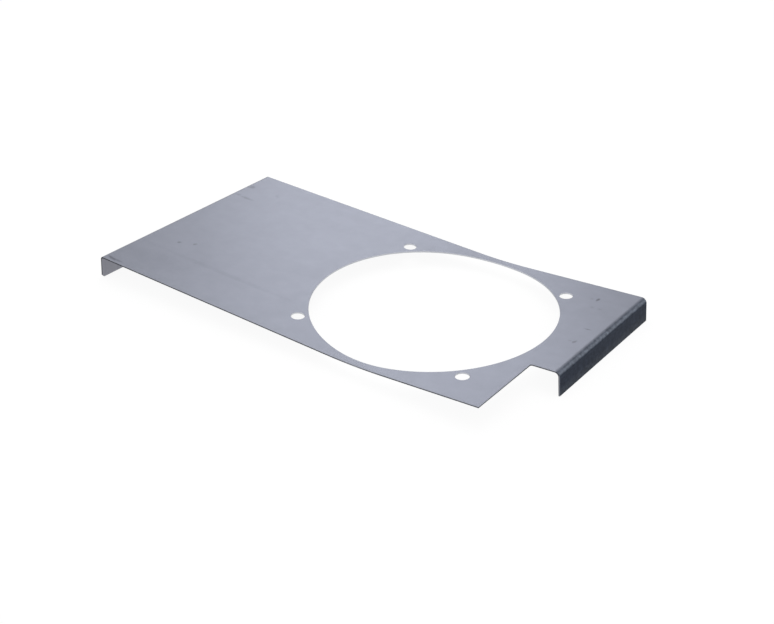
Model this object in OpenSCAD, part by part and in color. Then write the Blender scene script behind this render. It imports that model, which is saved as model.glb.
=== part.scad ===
// Side cover panel: one folded steel sheet with a large round opening, bolt holes round it,
// a turned-down flange at each end and a notch cut out of one corner.
//
// X runs along the panel, Y across it from the notched side, and +Z is up. The panel stands
// on its two flanges, and the origin is the middle of its footprint, on the surface below it.

/* [Sheet] */
// Thickness of the steel sheet
sheet_t = 1.2; // [0.8:0.1:2]
// Width of sheet left on each side of the opening at the necks
neck_w = 7; // [4:0.5:40]
// Length of plain sheet from the opening to the left outer corner
left_land = 166; // [60:1:260]
// Length of sheet from the opening to the right outer corner
right_land = 34; // [28:1:120]

/* [Flanges] */
// Depth of the flanges, from the outer corner down to the cut edge
flange_h = 20; // [14:0.5:40]
// Inside radius of the left fold
left_fold_r = 1.6; // [0.8:0.1:4]
// Inside radius of the right fold, which is the softer one
right_fold_r = 3.3; // [0.8:0.1:6]
// Angle by which each flange falls short of a square fold
flange_splay = 2; // [0:0.5:6]
// Size of the clipped corners on the left flange
corner_clip = 2; // [0.5:0.5:6]

/* [Opening] */
// Diameter of the round opening
opening_d = 200; // [120:1:300]
// Number of bolt holes round the opening
bolt_count = 4; // [3:1:4]
// Diameter of each bolt hole
bolt_d = 11; // [5:0.5:14]
// Metal left between the opening and each bolt hole
bolt_web = 3.5; // [2:0.5:5]

/* [Notch] */
// Length of the notch, from the right outer corner
notch_l = 24; // [10:0.5:26]
// Depth of the notch, from the near edge of the sheet
notch_w = 72; // [20:1:90]
// Radius in the notch's inner corner
notch_r = 1.5; // [0.5:0.5:4]

/* [Sag] */
// Angle by which the sheet has sagged where the opening leaves two narrow necks
sag = 5.5; // [1:0.5:8]
// Length of sheet over which the sag is spread
sag_run = 50; // [20:5:80]

/* [Hidden] */
$fn = 96;

// Steps in the arc of each fold, and in each half of the sagged arc
fold_steps = 16;
sag_steps = 6;
// How far a cutting tool runs past the sheet
cut_past = 10;

// Width of the sheet across the panel
panel_w = opening_d + 2 * neck_w;
// Distances along the skin from the opening's centre to the outer corners
left_reach = opening_d / 2 + left_land;
right_reach = opening_d / 2 + right_land;
// Each side of the opening takes half of the sag
half_sag = sag / 2;
// Radius of the sagged arc at the top skin
sag_r = sag_run / (sag * PI / 180);
// Angle through which each flange is folded down
fold = 90 - flange_splay;
// Angle of each flange from the plumb line, in the sheet as it sags
flange_lean = half_sag + flange_splay;
// Radius of the circle on which the bolt holes lie
bolt_circle_r = opening_d / 2 + bolt_web + bolt_d / 2;
// Angle of the first bolt hole, so that none lies on a neck
first_bolt = 180 / bolt_count;

// Point at a distance along a direction, both in degrees and millimetres from the +X axis
function polar(r, angle) = r * [cos(angle), sin(angle)];

// Outer corner of one side, where the skins of its flat and its flange would meet
function outer_corner(reach) =
    [sag_r * sin(half_sag), sag_r * (1 - cos(half_sag))] + polar(reach - sag_run / 2, half_sag);

// Point on the free edge of a flange, at a depth into the sheet from its outer skin
function free_edge(reach, depth) =
    outer_corner(reach) + polar(flange_h, flange_lean - 90) - polar(depth, flange_lean);

// Centre about which one side's flange is folded
function fold_centre(reach, fold_r) =
    let (skin_r = fold_r + sheet_t)
        outer_corner(reach) - polar(skin_r * tan(fold / 2), half_sag) - polar(skin_r, half_sag + 90);

// One side of the sheet at a depth below the outer skin, from the opening's centre outwards
function side_line(reach, fold_r, depth) = [
    for (i = [1 : sag_steps])
        [0, sag_r] + polar(sag_r + depth, half_sag * i / sag_steps - 90),
    for (i = [0 : fold_steps])
        fold_centre(reach, fold_r) + polar(fold_r + sheet_t - depth, half_sag + 90 - fold * i / fold_steps),
    free_edge(reach, depth)
];

function reversed(line) = [for (i = [len(line) - 1 : -1 : 0]) line[i]];
function mirrored(line) = [for (p = line) [-p[0], p[1]]];

// The whole sheet at a depth below the outer skin, from the left free edge to the right one
function sheet_line(depth) = concat(
    reversed(mirrored(side_line(left_reach, left_fold_r, depth))),
    [[0, -depth]],
    side_line(right_reach, right_fold_r, depth)
);

// The inner corners of the free edges are the feet, and they have to lie level
right_foot = free_edge(right_reach, sheet_t);
left_foot = mirrored([free_edge(left_reach, sheet_t)])[0];
level = atan2(right_foot[1] - left_foot[1], right_foot[0] - left_foot[0]);

// A point of the section after it is turned level
function levelled(p) =
    [p[0] * cos(level) + p[1] * sin(level), p[1] * cos(level) - p[0] * sin(level)];

// Height of the feet and middle of the footprint, in the levelled section
foot_z = levelled(right_foot)[1];
right_end = levelled(free_edge(right_reach, 0));
left_end = levelled(mirrored([free_edge(left_reach, 0)])[0]);
foot_mid = (right_end[0] + left_end[0]) / 2;

// The sheet with its sag and its two folds, before anything is cut out of it
module folded_sheet() {
    rotate([90, 0, 0])
        translate([0, 0, -panel_w / 2])
            linear_extrude(panel_w)
                polygon(concat(sheet_line(0), reversed(sheet_line(sheet_t))));
}

// Round hole through the sheet, square to the plane of the opening
module punch(d) {
    translate([0, 0, -cut_past])
        cylinder(d = d, h = outer_corner(left_reach)[1] + 2 * cut_past);
}

// Bolt holes on a circle round the opening
module bolt_punches() {
    for (i = [0 : bolt_count - 1])
        rotate([0, 0, first_bolt + i * 360 / bolt_count])
            translate([bolt_circle_r, 0, 0])
                punch(bolt_d);
}

// Corner notch through the flat, the fold and the flange, with a round inner corner
module notch() {
    inner_x = outer_corner(right_reach)[0] - notch_l;
    inner_y = notch_w - panel_w / 2;
    past_l = notch_l + flange_h + cut_past;
    past_w = notch_w + cut_past;
    translate([inner_x, inner_y, -flange_h - cut_past])
        linear_extrude(2 * (flange_h + cut_past)) {
            translate([0, -past_w])
                square([past_l, past_w - notch_r]);
            translate([notch_r, -past_w])
                square([past_l - notch_r, past_w]);
            translate([notch_r, -notch_r])
                circle(r = notch_r);
        }
}

// Wedges that clip the two free corners of the left flange
module corner_clips() {
    corner = mirrored([free_edge(left_reach, 0)])[0];
    reach = corner_clip + cut_past;
    for (side = [0, 1])
        mirror([0, side, 0])
            translate([corner[0] - cut_past, -panel_w / 2, corner[1]])
                rotate([90, 0, 90])
                    linear_extrude(2 * cut_past)
                        polygon([
                            [-cut_past, -cut_past],
                            [reach, -cut_past],
                            [-cut_past, reach]
                        ]);
}

// Sets the sagged panel down on its flanges, over the middle of its footprint
module stood() {
    translate([-foot_mid, 0, -foot_z])
        rotate([0, level, 0])
            children();
}

module cover_panel() {
    color("#9ea1ab")
        stood()
            difference() {
                folded_sheet();
                punch(opening_d);
                bolt_punches();
                notch();
                corner_clips();
            }
}

cover_panel();
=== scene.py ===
"""Looks of a folded steel side cover panel: mill finish skin, pressed folds and sheared edges."""

import math

import bpy
from mathutils import Matrix, Vector


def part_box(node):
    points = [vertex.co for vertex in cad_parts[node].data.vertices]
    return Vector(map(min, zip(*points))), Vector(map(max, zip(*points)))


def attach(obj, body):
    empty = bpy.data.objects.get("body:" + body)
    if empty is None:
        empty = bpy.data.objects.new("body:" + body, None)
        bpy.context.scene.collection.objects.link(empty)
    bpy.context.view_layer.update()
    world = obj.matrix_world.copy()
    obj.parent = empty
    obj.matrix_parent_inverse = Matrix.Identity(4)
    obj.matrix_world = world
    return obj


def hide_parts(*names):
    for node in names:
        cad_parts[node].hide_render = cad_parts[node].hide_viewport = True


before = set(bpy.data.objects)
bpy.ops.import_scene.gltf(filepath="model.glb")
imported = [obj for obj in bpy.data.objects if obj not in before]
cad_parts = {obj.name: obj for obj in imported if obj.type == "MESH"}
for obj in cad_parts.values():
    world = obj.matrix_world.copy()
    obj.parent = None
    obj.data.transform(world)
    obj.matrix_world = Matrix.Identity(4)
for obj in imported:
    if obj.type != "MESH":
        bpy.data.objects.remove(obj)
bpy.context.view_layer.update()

MM = 0.001

# Camera, fitted to the panel's edges and holes in the photograph
CAMERA_AT = Vector((568.76, -774.24, 525.44)) * MM
CAMERA_TURN = (60.7353, -0.9157, 35.8445)
SENSOR_W = 36.0
IMAGE_W = 774
FOCAL_PX = 1320.67

# The panel's driving sizes, as its source has them
SHEET_T = 1.2 * MM
NECK_W = 7 * MM
LEFT_LAND = 166 * MM
RIGHT_LAND = 34 * MM
FLANGE_H = 20 * MM
LEFT_FOLD_R = 1.6 * MM
RIGHT_FOLD_R = 3.3 * MM
FOLD = math.radians(88)
CORNER_CLIP = 2 * MM
OPENING_D = 200 * MM
BOLT_COUNT = 4
BOLT_D = 11 * MM
BOLT_WEB = 3.5 * MM
NOTCH_L = 24 * MM
NOTCH_W = 72 * MM
NOTCH_R = 1.5 * MM
SAG = math.radians(5.5)
SAG_RUN = 50 * MM

# Worked out from them
PANEL_W = OPENING_D + 2 * NECK_W
LEFT_REACH = OPENING_D / 2 + LEFT_LAND
RIGHT_REACH = OPENING_D / 2 + RIGHT_LAND
SAG_R = SAG_RUN / SAG
BOLT_CIRCLE_R = OPENING_D / 2 + BOLT_WEB + BOLT_D / 2
PAST = 10 * MM
# Middle of the opening as the panel stands
OPENING_AT = Vector((65.7, 0.0, 12.1)) * MM

# Steps of the arcs in the section, and of the round holes
SAG_STEPS = 24
LEFT_FOLD_STEPS = 16
RIGHT_FOLD_STEPS = 22
OPENING_STEPS = 240
BOLT_STEPS = 48
# How far the sheared edges are eased, and how near two points have to be to become one
EASING = 0.12 * MM
WELD_GAP = 0.004 * MM

# Material slots of the panel
SKIN, UNDERSIDE, EDGE = 0, 1, 2

# Takes back the rise of a metal's reflection at grazing angles
GRAZING_TINT = "#cbcbcb"


def colour(code):
    """Linear RGBA of an sRGB hex colour."""
    parts = [int(code[i:i + 2], 16) / 255 for i in (1, 3, 5)]
    return tuple(c / 12.92 if c <= 0.04045 else ((c + 0.055) / 1.055) ** 2.4 for c in parts) + (1.0,)


def add(tree, kind, inputs=None, **settings):
    """Adds a node with its settings; an input is a value or the socket that feeds it."""
    node = tree.nodes.new(kind)
    for name, value in settings.items():
        setattr(node, name, value)
    for name, value in (inputs or {}).items():
        if isinstance(value, bpy.types.NodeSocket):
            tree.links.new(value, node.inputs[name])
        else:
            node.inputs[name].default_value = value
    return node


def material(name):
    """An empty material and its node tree."""
    made = bpy.data.materials.new(name)
    made.use_nodes = True
    made.node_tree.nodes.clear()
    return made, made.node_tree


def deselect():
    """Leaves nothing selected, so that an operator acts on the new piece alone."""
    if bpy.context.object and bpy.context.object.mode != "OBJECT":
        bpy.ops.object.mode_set(mode="OBJECT")
    bpy.ops.object.select_all(action="DESELECT")


# Finishes of the one steel sheet, with painted shade and light in their colours
def fold_lines(flats):
    """Centre lines of the left and right folds in X and Z, from the flats and flanges beside them."""
    left_flange, left_flat, right_flat, right_flange = flats
    left = (left_flat, left_flange, LEFT_FOLD_R)
    right = (right_flat, right_flange, RIGHT_FOLD_R)
    lines = []
    for flat, flange, fold_r in (left, right):
        sides = Matrix([(normal.x, normal.z) for at, normal in (flat, flange)])
        reach = Vector([normal.dot(at) - fold_r - SHEET_T for at, normal in (flat, flange)])
        lines.append(sides.inverted() @ reach)
    return lines


# Tones of the skin, matched to the photo's flats, fold and flange. The flange, its lip and the dark band in
# each fold are painted shade, and the crest between is a painted sheen, standing in for the dark and bright
# surroundings they reflect, which a white world doesn't have
FLAT_TONE = "#888b96"
RIGHT_FLAT_SHADED_TONE = "#838691"
SHADED_BAND_TONE = "#585d68"
CREST_SHEEN_TONE = "#6a707b"
FLANGE_SHADE_TONE = "#2f3541"
LIP_SHADE_TONE = "#3f444c"
# Where each lies, in degrees turned from level: a band of painted shade, a painted sheen on the crest, the
# flange and its lip in painted shade.
# The outside of the left fold is hidden, and is guessed to be like the right one
LEFT_FOLD_TONES = (
    (0, FLAT_TONE), (10, FLAT_TONE), (30, SHADED_BAND_TONE), (55, CREST_SHEEN_TONE), (80, FLANGE_SHADE_TONE),
    (150, FLANGE_SHADE_TONE), (160, LIP_SHADE_TONE))
RIGHT_FOLD_TONES = (
    (0, RIGHT_FLAT_SHADED_TONE), (25, SHADED_BAND_TONE), (30, SHADED_BAND_TONE), (45, CREST_SHEEN_TONE), (55, CREST_SHEEN_TONE),
    (75, FLANGE_SHADE_TONE), (145, FLANGE_SHADE_TONE), (160, LIP_SHADE_TONE))

# Tones of the cut edge: burnished by the blade, torn, and a painted highlight on the walls of the punched
# holes
BURNISHED_TONE = "#7b7d84"
TORN_TONE = "#44464d"
PUNCHED_WALL_HIGHLIGHT_TONE = "#c8cad0"

# Marks that can be seen on the sheet in the photo, in millimetres and degrees: place, half sizes,
# turn from +X, and how much darker than the skin
MARKS = (
    # Scuffs and a spot at the far left
    (-182, 58, 9, 2, 0, 0.2), (-193, 59, 3, 2, 0, 0.15), (-194, 79, 4, 3, 20, 0.25),
    (-163, 79, 5, 2, -50, 0.1),
    # Two dots, and the smudge on the near left corner with a broad patch painted slightly darker round it
    (-168, -46, 2, 2, 0, 0.3), (-155, -40, 2, 2, 0, 0.25),
    (-191, -103, 6, 1.5, -15, 0.4), (-184, -103, 6, 1.5, -5, 0.3), (-165, -85, 40, 20, 0, 0.04),
    # One long rolling streak
    (-105, -63, 90, 3, 0, 0.05),
    # A tick and faint spots by the far right bolt hole, and two scuffs by the right fold
    (168, 84, 3, 1.5, 90, 0.5), (163, 83, 2, 2, 0, 0.1), (170, 70, 2, 2, 0, 0.1), (177, 70, 2, 2, 0, 0.1),
    (185, 35, 4, 1, 0, 0.3), (186, 12, 3, 1.5, 80, 0.3), (182, 12, 2, 1, 0, 0.15),
)


def soft_spots(tree, place, spots, ragged):
    """Sum of soft elliptical spots, whose rims a noise breaks by that share of their size."""
    noise = add(tree, "ShaderNodeTexNoise", {"Vector": place, "Scale": 1 / 0.003, "Detail": 2.0})
    breaking = add(tree, "ShaderNodeVectorMath", {0: noise.outputs["Color"], 1: (0.5, 0.5, 0.5)},
                   operation="SUBTRACT")
    total = 0.0
    for x, y, half_length, half_width, turn, strength in spots:
        spot = add(tree, "ShaderNodeMapping", {
            "Vector": place, "Location": (x * MM, y * MM, 0), "Rotation": (0, 0, math.radians(turn)),
            "Scale": (half_length * MM, half_width * MM, 1)}, vector_type="TEXTURE")
        broken = add(tree, "ShaderNodeVectorMath", {
            0: breaking.outputs[0], 1: (ragged, ragged, 0), 2: spot.outputs[0]}, operation="MULTIPLY_ADD")
        away = add(tree, "ShaderNodeVectorMath", {0: broken.outputs[0]}, operation="LENGTH")
        near = add(tree, "ShaderNodeMapRange", {
            "Value": away.outputs["Value"], "From Min": 1.25, "From Max": 0.3},
            interpolation_type="SMOOTHSTEP")
        total = add(tree, "ShaderNodeMath", {0: near.outputs[0], 1: strength, 2: total},
                    operation="MULTIPLY_ADD").outputs[0]
    return total


def mill_finish_skin_with_painted_shade(flats):
    """Cold-rolled steel, mill finish: a soft blue-grey sheen, faint streaks along the rolling, cloudy
    patches of oil and handling, painted shade on the folds, flanges and right flat, and a painted sheen on
    the fold crests."""
    made, tree = material("cold_rolled_steel_mill_finish_with_painted_shade")
    place = add(tree, "ShaderNodeTexCoord").outputs["Object"]
    axis = add(tree, "ShaderNodeSeparateXYZ", {"Vector": place})

    # Degrees turned round each fold, from its centre line, and the tone and painted shade that go with them
    tones = []
    turned_in_all = 0.0
    for side, line, stops in zip((-1, 1), fold_lines(flats), (LEFT_FOLD_TONES, RIGHT_FOLD_TONES)):
        outwards = add(tree, "ShaderNodeMath", {0: axis.outputs["X"], 1: side, 2: -side * line[0]},
                       operation="MULTIPLY_ADD")
        above = add(tree, "ShaderNodeMath", {0: axis.outputs["Z"], 1: line[1]}, operation="SUBTRACT")
        turned = add(tree, "ShaderNodeMath", {0: outwards.outputs[0], 1: above.outputs[0]},
                     operation="ARCTAN2")
        folded = add(tree, "ShaderNodeMath", {0: outwards.outputs[0], 1: 0.0}, operation="GREATER_THAN")
        only_there = add(tree, "ShaderNodeMath", {0: turned.outputs[0], 1: folded.outputs[0]},
                         operation="MULTIPLY")
        turned_in_all = add(tree, "ShaderNodeMath", {
            0: only_there.outputs[0], 1: turned_in_all}, operation="ADD").outputs[0]
        half_turns = add(tree, "ShaderNodeMapRange", {"Value": only_there.outputs[0], "From Max": math.pi})
        tone = add(tree, "ShaderNodeValToRGB", {"Fac": half_turns.outputs[0]})
        ends = tone.color_ramp.elements
        ends[0].color = colour(stops[0][1])
        ends[-1].color = colour(stops[-1][1])
        for angle, code in stops[1:]:
            ends.new(angle / 180).color = colour(code)
        tones.append(tone.outputs["Color"])
    # Blends the left fold's tones into the right's, which paints the right flat a little darker as painted
    # shade
    towards_right = add(tree, "ShaderNodeMapRange", {
        "Value": axis.outputs["X"], "From Min": 0.0, "From Max": 150 * MM})
    toned = add(tree, "ShaderNodeMix", {
        "Factor": towards_right.outputs[0], "A": tones[0], "B": tones[1]}, data_type="RGBA")

    # Rolling streaks about 2 mm wide and 150 mm long, and wider bands
    fine_run = add(tree, "ShaderNodeMapping", {"Vector": place, "Scale": (1 / 0.15, 1 / 0.0022, 0.0)})
    fine = add(tree, "ShaderNodeTexNoise", {"Vector": fine_run.outputs[0], "Scale": 1.0, "Detail": 3.0})
    wide_run = add(tree, "ShaderNodeMapping", {"Vector": place, "Scale": (1 / 0.3, 1 / 0.016, 0.0)})
    wide = add(tree, "ShaderNodeTexNoise", {"Vector": wide_run.outputs[0], "Scale": 1.0, "Detail": 2.0})
    # Cloudy patches about 40 mm across, and a mottle of about 11 mm
    cloud = add(tree, "ShaderNodeTexNoise", {"Vector": place, "Scale": 1 / 0.04, "Detail": 3.0})
    mottle = add(tree, "ShaderNodeTexNoise", {"Vector": place, "Scale": 1 / 0.011, "Detail": 3.0})
    shade = 1.0
    for pattern, depth in ((fine, 0.06), (wide, 0.06), (cloud, 0.06), (mottle, 0.13)):
        part = add(tree, "ShaderNodeMath", {0: pattern.outputs[0], 1: -0.5}, operation="ADD")
        shade = add(tree, "ShaderNodeMath", {0: part.outputs[0], 1: depth, 2: shade},
                    operation="MULTIPLY_ADD").outputs[0]

    # Speckle that the press brake left on the folds and flanges, drawn out along them
    press_run = add(tree, "ShaderNodeMapping", {
        "Vector": place, "Scale": (1 / 0.002, 1 / 0.0032, 1 / 0.002)})
    pressed = add(tree, "ShaderNodeTexNoise", {"Vector": press_run.outputs[0], "Scale": 1.0, "Detail": 2.0})
    on_fold = add(tree, "ShaderNodeMapRange", {
        "Value": turned_in_all, "From Min": math.radians(2), "From Max": math.radians(30), "To Max": 1.4})
    speckle = add(tree, "ShaderNodeMath", {0: pressed.outputs[0], 1: -0.5}, operation="ADD")
    shade = add(tree, "ShaderNodeMath", {0: speckle.outputs[0], 1: on_fold.outputs[0], 2: shade},
                operation="MULTIPLY_ADD").outputs[0]

    marked = add(tree, "ShaderNodeMath", {
        0: shade, 1: soft_spots(tree, place, MARKS, 1.3)}, operation="SUBTRACT")
    skin = add(tree, "ShaderNodeVectorMath", {0: toned.outputs["Result"], "Scale": marked.outputs[0]},
               operation="SCALE")

    # Gloss follows the streaks, and a rolled grain, drawn coarser than it is at 0.9 mm, breaks it up
    gloss = add(tree, "ShaderNodeMapRange", {
        "Value": fine.outputs[0], "From Min": 0.3, "From Max": 0.7, "To Min": 0.345, "To Max": 0.375})
    grain = add(tree, "ShaderNodeTexNoise", {"Vector": place, "Scale": 1 / 0.0009, "Detail": 2.0})
    relief = add(tree, "ShaderNodeBump", {
        "Height": grain.outputs[0], "Strength": 0.06, "Distance": 0.05 * MM})
    shader = add(tree, "ShaderNodeBsdfPrincipled", {
        "Base Color": skin.outputs[0], "Metallic": 1.0, "Roughness": gloss.outputs[0],
        "Specular Tint": colour(GRAZING_TINT), "Normal": relief.outputs[0]})
    add(tree, "ShaderNodeOutputMaterial", {"Surface": shader.outputs[0]})
    return made


def underside_skin():
    """The same sheet on the side that faces the machine, which is duller and keeps its oil."""
    made, tree = material("cold_rolled_steel_underside")
    place = add(tree, "ShaderNodeTexCoord").outputs["Object"]
    run = add(tree, "ShaderNodeMapping", {"Vector": place, "Scale": (1 / 0.15, 1 / 0.004, 0.0)})
    streak = add(tree, "ShaderNodeTexNoise", {"Vector": run.outputs[0], "Scale": 1.0, "Detail": 3.0})
    cloud = add(tree, "ShaderNodeTexNoise", {"Vector": place, "Scale": 1 / 0.03, "Detail": 4.0})
    both = add(tree, "ShaderNodeMath", {0: streak.outputs[0], 1: cloud.outputs[0]}, operation="ADD")
    tone = add(tree, "ShaderNodeMapRange", {"Value": both.outputs[0], "From Min": 0.6, "From Max": 1.4})
    oiled = add(tree, "ShaderNodeMix", {
        "Factor": tone.outputs[0], "A": colour("#85868e"), "B": colour("#94959d")}, data_type="RGBA")
    gloss = add(tree, "ShaderNodeMapRange", {
        "Value": cloud.outputs[0], "From Min": 0.3, "From Max": 0.7, "To Min": 0.40, "To Max": 0.46})
    shader = add(tree, "ShaderNodeBsdfPrincipled", {
        "Base Color": oiled.outputs["Result"], "Metallic": 1.0, "Roughness": gloss.outputs[0],
        "Specular Tint": colour(GRAZING_TINT)})
    add(tree, "ShaderNodeOutputMaterial", {"Surface": shader.outputs[0]})
    return made


def sheared_edge_with_painted_light(flats):
    """Sheared steel: the top third is burnished by the blade, and the rest is torn, dull and grainy, with
    painted light that brightens it towards the right and on the walls of the holes.
    """
    made, tree = material("sheared_steel_edge_with_painted_light")
    place = add(tree, "ShaderNodeTexCoord").outputs["Object"]

    # Depth below the skin: the flats meet in a valley, and each flange cuts them off
    depths = []
    for at, normal in flats:
        along_normal = add(tree, "ShaderNodeVectorMath", {0: place, 1: normal}, operation="DOT_PRODUCT")
        depths.append(add(tree, "ShaderNodeMath", {
            0: normal.dot(at), 1: along_normal.outputs["Value"]}, operation="SUBTRACT").outputs[0])
    valley = add(tree, "ShaderNodeMath", {0: depths[1], 1: depths[2]}, operation="MAXIMUM")
    within_left = add(tree, "ShaderNodeMath", {0: valley.outputs[0], 1: depths[0]}, operation="MINIMUM")
    depth = add(tree, "ShaderNodeMath", {0: within_left.outputs[0], 1: depths[3]}, operation="MINIMUM")

    # The tear starts at a wavering depth, and its grain is 0.25 mm
    waver = add(tree, "ShaderNodeTexNoise", {"Vector": place, "Scale": 1 / 0.003, "Detail": 2.0})
    start = add(tree, "ShaderNodeMath", {
        0: waver.outputs[0], 1: -0.3 * MM, 2: depth.outputs[0]}, operation="MULTIPLY_ADD")
    torn = add(tree, "ShaderNodeMapRange", {
        "Value": start.outputs[0], "From Min": 0.2 * MM, "From Max": 0.32 * MM})
    grit = add(tree, "ShaderNodeTexNoise", {"Vector": place, "Scale": 1 / 0.00025, "Detail": 2.0})
    zone = add(tree, "ShaderNodeMix", {
        "Factor": torn.outputs[0], "A": colour(BURNISHED_TONE), "B": colour(TORN_TONE)},
        data_type="RGBA")
    dust = add(tree, "ShaderNodeMapRange", {"Value": grit.outputs[0], "To Min": 0.82, "To Max": 1.18})
    # The edge is painted brighter towards the right, as painted light
    axis = add(tree, "ShaderNodeSeparateXYZ", {"Vector": place})
    painted_light_to_right = add(tree, "ShaderNodeMapRange", {
        "Value": axis.outputs["X"], "From Min": -200 * MM, "From Max": 160 * MM,
        "To Min": 0.82, "To Max": 1.32})
    both = add(tree, "ShaderNodeMath", {0: dust.outputs[0], 1: painted_light_to_right.outputs[0]}, operation="MULTIPLY")
    dusted_with_painted_light = add(tree, "ShaderNodeVectorMath", {0: zone.outputs["Result"], "Scale": both.outputs[0]},
                 operation="SCALE")

    # The walls of the punched holes show brighter than the outer edges where they can be seen, and carry
    # a painted highlight all the way round
    from_middle = add(tree, "ShaderNodeVectorMath", {0: place, 1: OPENING_AT}, operation="DISTANCE")
    in_holes = add(tree, "ShaderNodeMath", {
        0: from_middle.outputs["Value"], 1: BOLT_CIRCLE_R + BOLT_D / 2 + 1 * MM}, operation="LESS_THAN")
    off_middle = add(tree, "ShaderNodeMath", {0: axis.outputs["Y"]}, operation="ABSOLUTE")
    off_edges = add(tree, "ShaderNodeMath", {
        0: off_middle.outputs[0], 1: (PANEL_W - NECK_W) / 2}, operation="LESS_THAN")
    punched = add(tree, "ShaderNodeMath", {0: in_holes.outputs[0], 1: off_edges.outputs[0]},
                  operation="MULTIPLY")
    tone = add(tree, "ShaderNodeMix", {
        "Factor": punched.outputs[0], "A": dusted_with_painted_light.outputs[0], "B": colour(PUNCHED_WALL_HIGHLIGHT_TONE)},
        data_type="RGBA")
    gloss = add(tree, "ShaderNodeMapRange", {"Value": torn.outputs[0], "To Min": 0.3, "To Max": 0.52})
    height = add(tree, "ShaderNodeMath", {0: torn.outputs[0], 1: grit.outputs[0]}, operation="MULTIPLY")
    relief = add(tree, "ShaderNodeBump", {
        "Height": height.outputs[0], "Strength": 0.4, "Distance": 0.05 * MM})
    shader = add(tree, "ShaderNodeBsdfPrincipled", {
        "Base Color": tone.outputs["Result"], "Metallic": 1.0, "Roughness": gloss.outputs[0],
        "Specular Tint": colour(GRAZING_TINT), "Normal": relief.outputs[0]})
    add(tree, "ShaderNodeOutputMaterial", {"Surface": shader.outputs[0]})
    return made


# The panel: a strip of skin drawn out, sagged and folded, thickened, cut, and its edges eased
def along(angle, length):
    """A step of that length in the section, turned up by the angle from +X."""
    return length * Vector((math.cos(angle), 0, math.sin(angle)))


def set_back(fold_r):
    """Distance from an outer corner to where its fold starts."""
    return (fold_r + SHEET_T) * math.tan(FOLD / 2)


def move(piece, matrix):
    piece.data.transform(matrix)
    piece.data.update()


def pick_end(piece, end):
    """Goes into edit mode with the strip's end edge selected; end is min or max."""
    bpy.ops.object.mode_set(mode="OBJECT")
    for parts in (piece.data.vertices, piece.data.edges, piece.data.polygons):
        for part in parts:
            part.select = False
    last = end(v.co.x for v in piece.data.vertices)
    for v in piece.data.vertices:
        v.select = abs(v.co.x - last) < 0.001 * MM
    bpy.ops.object.mode_set(mode="EDIT")
    bpy.ops.mesh.select_mode(type="VERT")


def draw_out(step):
    bpy.ops.mesh.extrude_edges_move(TRANSFORM_OT_translate={"value": step})


def swing(steps, angle, centre):
    """Draws the selected edge round an arc about a line along Y."""
    bpy.ops.mesh.spin(steps=steps, angle=angle, center=centre, axis=(0, 1, 0))


def finish_with(piece, kind, **settings):
    """Adds a modifier with its settings and applies it."""
    modifier = piece.modifiers.new("finish", kind)
    for name, value in settings.items():
        setattr(modifier, name, value)
    deselect()
    bpy.context.view_layer.objects.active = piece
    piece.select_set(True)
    bpy.ops.object.modifier_apply(modifier=modifier.name)


def folded_strip():
    """The whole sheet before it is cut, with its left flat level and the sag's near end at the origin."""
    left_flat = LEFT_REACH - SAG_RUN / 2 - set_back(LEFT_FOLD_R)
    right_flat = RIGHT_REACH - SAG_RUN / 2 - set_back(RIGHT_FOLD_R)
    deselect()
    bpy.ops.mesh.primitive_plane_add(size=1, location=(-left_flat / 2, 0, 0))
    strip = bpy.context.object
    strip.name = "folded_cover_panel"
    strip.scale = (left_flat, PANEL_W, 1)
    bpy.ops.object.transform_apply(location=True, rotation=True, scale=True)

    sag_centre = Vector((0, 0, SAG_R))
    right_bend = sag_centre + along(SAG - math.pi / 2, SAG_R) + along(SAG, right_flat)
    skin_r = RIGHT_FOLD_R + SHEET_T
    pick_end(strip, max)
    swing(SAG_STEPS, SAG, sag_centre)
    draw_out(along(SAG, right_flat))
    swing(RIGHT_FOLD_STEPS, -FOLD, right_bend - along(SAG + math.pi / 2, skin_r))
    draw_out(along(SAG - FOLD, FLANGE_H - set_back(RIGHT_FOLD_R)))

    skin_r = LEFT_FOLD_R + SHEET_T
    pick_end(strip, min)
    swing(LEFT_FOLD_STEPS, FOLD, Vector((-left_flat, 0, -skin_r)))
    draw_out(along(math.pi + FOLD, FLANGE_H - set_back(LEFT_FOLD_R)))
    bpy.ops.mesh.select_all(action="SELECT")
    bpy.ops.mesh.normals_make_consistent(inside=False)
    bpy.ops.object.mode_set(mode="OBJECT")
    for slot in (SKIN, UNDERSIDE, EDGE):
        strip.data.materials.append(None)
    finish_with(strip, "SOLIDIFY", thickness=SHEET_T, offset=-1, use_even_offset=True,
                material_offset=UNDERSIDE, material_offset_rim=EDGE)
    middle = sag_centre + along(SAG / 2 - math.pi / 2, SAG_R)
    move(strip, Matrix.Rotation(SAG / 2, 4, "Y") @ Matrix.Translation(-middle))
    return strip


def cut(piece, cutter):
    """Takes the cutter out of the piece, and leaves sheared edges where it passed."""
    for made in piece.data.materials:
        cutter.data.materials.append(made)
    for face in cutter.data.polygons:
        face.material_index = EDGE
    finish_with(piece, "BOOLEAN", object=cutter, operation="DIFFERENCE", solver="EXACT",
                material_mode="INDEX")
    bpy.data.objects.remove(cutter)


def round_punch(radius, place, steps):
    deselect()
    bpy.ops.mesh.primitive_cylinder_add(vertices=steps, radius=radius, depth=6 * PAST, location=place)
    return bpy.context.object


def block(low, high):
    """A box between two corners, with its place in its mesh."""
    deselect()
    bpy.ops.mesh.primitive_cube_add(size=1, location=(low + high) / 2)
    made = bpy.context.object
    made.scale = high - low
    bpy.ops.object.transform_apply(location=True, rotation=True, scale=True)
    return made


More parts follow.
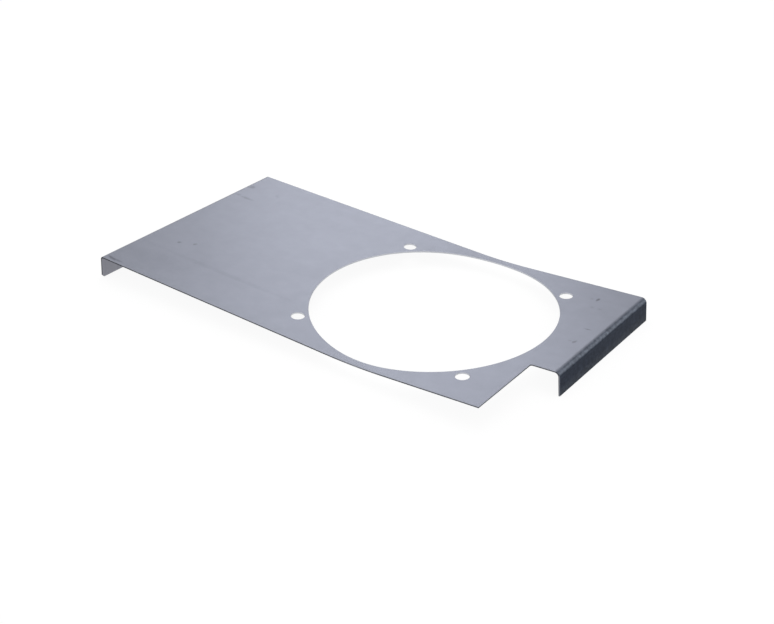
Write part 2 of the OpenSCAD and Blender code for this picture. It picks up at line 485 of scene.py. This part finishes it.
def notch_punch():
    """The corner notch's tool, with its one inner edge rounded."""
    corner_x = SAG_R * math.sin(SAG / 2) + (RIGHT_REACH - SAG_RUN / 2) * math.cos(SAG / 2)
    inner = Vector((corner_x - NOTCH_L, NOTCH_W - PANEL_W / 2, 0))
    tool = block(Vector((inner.x, -PANEL_W / 2 - PAST, -4 * PAST)),
                 Vector((corner_x + 3 * PAST, inner.y, 4 * PAST)))
    for v in tool.data.vertices:
        v.select = (v.co.xy - inner.xy).length < 0.001 * MM
    for edge in tool.data.edges:
        edge.select = all(tool.data.vertices[i].select for i in edge.vertices)
    for face in tool.data.polygons:
        face.select = False
    bpy.ops.object.mode_set(mode="EDIT")
    bpy.ops.mesh.select_mode(type="EDGE")
    bpy.ops.mesh.bevel(offset=NOTCH_R, segments=10, affect="EDGES")
    bpy.ops.object.mode_set(mode="OBJECT")
    return tool


def corner_clip(corner, side):
    """A block that takes one free corner off the left flange at 45 degrees."""
    tool = block(Vector((-3, -2, -2)) * PAST, Vector((3, 2, 0)) * PAST)
    halfway = Vector((corner.x, side * (PANEL_W - CORNER_CLIP) / 2, corner.z + CORNER_CLIP / 2))
    move(tool, Matrix.Translation(halfway) @ Matrix.Rotation(side * math.radians(45), 4, "X"))
    return tool


def set_down(piece):
    """Turns the panel until both flanges stand level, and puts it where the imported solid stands."""
    feet = [min((v.co for v in piece.data.vertices if v.co.x * side > OPENING_D / 2), key=lambda co: co.z)
            for side in (-1, 1)]
    level = math.atan2(feet[1].z - feet[0].z, feet[1].x - feet[0].x)
    move(piece, Matrix.Rotation(level, 4, "Y"))
    low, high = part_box("cover_panel")
    xs = [v.co.x for v in piece.data.vertices]
    lowest = min(v.co.z for v in piece.data.vertices)
    move(piece, Matrix.Translation((
        (low.x + high.x) / 2 - (min(xs) + max(xs)) / 2, 0, low.z - lowest)))


def cover_panel():
    piece = folded_strip()
    free_corner = min((v.co.copy() for v in piece.data.vertices),
                      key=lambda co: (round(co.x / MM, 2), co.z))
    cut(piece, round_punch(OPENING_D / 2, (0, 0, 0), OPENING_STEPS))
    for i in range(BOLT_COUNT):
        turn = math.pi * (2 * i + 1) / BOLT_COUNT
        at = BOLT_CIRCLE_R * Vector((math.cos(turn), math.sin(turn), 0))
        cut(piece, round_punch(BOLT_D / 2, at, BOLT_STEPS))
    cut(piece, notch_punch())
    for side in (-1, 1):
        cut(piece, corner_clip(free_corner, side))
    set_down(piece)
    finish_with(piece, "BEVEL", width=EASING, segments=2, limit_method="ANGLE",
                angle_limit=math.radians(40), use_clamp_overlap=False)
    finish_with(piece, "WELD", merge_threshold=WELD_GAP)
    bpy.ops.object.shade_smooth_by_angle(angle=math.radians(50))
    finish_with(piece, "WEIGHTED_NORMAL", keep_sharp=True, weight=100)

    # The four flats of the skin, from left to right: flange, flat, flat, flange
    faces = sorted((f for f in piece.data.polygons if f.material_index == SKIN), key=lambda f: f.area)[-4:]
    flats = sorted(((f.center.copy(), f.normal.copy()) for f in faces), key=lambda flat: flat[0].x)
    piece.data.materials[SKIN] = mill_finish_skin_with_painted_shade(flats)
    piece.data.materials[UNDERSIDE] = underside_skin()
    piece.data.materials[EDGE] = sheared_edge_with_painted_light(flats)
    return piece


panel = cover_panel()
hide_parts("cover_panel")
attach(panel, "root")


# Floor and light: a plain white floor under a pale sky, one broad lamp overhead and one low behind
def seen_directly(tree):
    """1 for rays that should meet the white background: from the camera, a gloss or glass."""
    path = add(tree, "ShaderNodeLightPath")
    gloss = add(tree, "ShaderNodeMath", {
        0: path.outputs["Is Camera Ray"], 1: path.outputs["Is Glossy Ray"]}, operation="ADD")
    return add(tree, "ShaderNodeMath", {
        0: gloss.outputs[0], 1: path.outputs["Is Transmission Ray"]},
        operation="ADD", use_clamp=True).outputs[0]


def white_floor():
    deselect()
    bpy.ops.mesh.primitive_plane_add(size=20)
    floor = bpy.context.object
    floor.name = "floor"
    made, tree = material("white_card")
    shade = add(tree, "ShaderNodeBsdfDiffuse", {"Color": colour("#515151")})
    glow = add(tree, "ShaderNodeEmission", {"Color": colour("#ffffff"), "Strength": 0.925})
    both = add(tree, "ShaderNodeAddShader")
    tree.links.new(shade.outputs[0], both.inputs[0])
    tree.links.new(glow.outputs[0], both.inputs[1])
    plain = add(tree, "ShaderNodeBsdfDiffuse", {"Color": colour("#e6e6e6")})
    pick = add(tree, "ShaderNodeMixShader", {"Fac": seen_directly(tree)})
    tree.links.new(plain.outputs[0], pick.inputs[1])
    tree.links.new(both.outputs[0], pick.inputs[2])
    add(tree, "ShaderNodeOutputMaterial", {"Surface": pick.outputs[0]})
    floor.data.materials.append(made)


def pale_world():
    world = bpy.data.worlds.new("pale_sky")
    bpy.context.scene.world = world
    world.use_nodes = True
    tree = world.node_tree
    tree.nodes.clear()
    level = add(tree, "ShaderNodeMapRange", {"Value": seen_directly(tree), "To Min": 0.8, "To Max": 1.0})
    sky = add(tree, "ShaderNodeBackground", {"Color": colour("#ffffff"), "Strength": level.outputs[0]})
    add(tree, "ShaderNodeOutputWorld", {"Surface": sky.outputs[0]})


def softbox(name, at, aim, size, power):
    """A square lamp that faces the point aim."""
    data = bpy.data.lights.new(name, "AREA")
    data.shape = "RECTANGLE"
    data.size, data.size_y = size
    data.energy = power
    lamp = bpy.data.objects.new(name, data)
    lamp.location = at
    lamp.rotation_euler = (Vector(aim) - Vector(at)).to_track_quat("-Z", "Y").to_euler()
    bpy.context.scene.collection.objects.link(lamp)


# The lamps, in metres and degrees; the low one's place was fitted to the photo's shading
OVERHEAD_AT = (-0.2, 0.3, 1.6)
OVERHEAD_SIZE = (1.4, 1.4)
OVERHEAD_WATTS = 8
LOW_BEARING = 53.9
LOW_HEIGHT = 25.8
LOW_DISTANCE = 4.0
LOW_SIZE = (1.11, 0.78)
LOW_WATTS = 7.2


def towards(bearing, height, distance):
    """A point seen from the opening: bearing from -X towards +Y and height above the floor, in degrees."""
    b, h = math.radians(bearing), math.radians(height)
    way = Vector((-math.cos(b) * math.cos(h), math.sin(b) * math.cos(h), math.sin(h)))
    return OPENING_AT + distance * way


white_floor()
pale_world()
softbox("overhead_softbox", OVERHEAD_AT, (0, 0, 0), OVERHEAD_SIZE, OVERHEAD_WATTS)
softbox("low_softbox", towards(LOW_BEARING, LOW_HEIGHT, LOW_DISTANCE), OPENING_AT, LOW_SIZE, LOW_WATTS)

camera = bpy.data.objects.new("camera", bpy.data.cameras.new("camera"))
camera.location = CAMERA_AT
camera.rotation_euler = [math.radians(turn) for turn in CAMERA_TURN]
camera.data.sensor_width = SENSOR_W
camera.data.lens = FOCAL_PX * SENSOR_W / IMAGE_W
bpy.context.scene.collection.objects.link(camera)
bpy.context.scene.camera = camera
bpy.context.scene.view_settings.view_transform = "Standard"
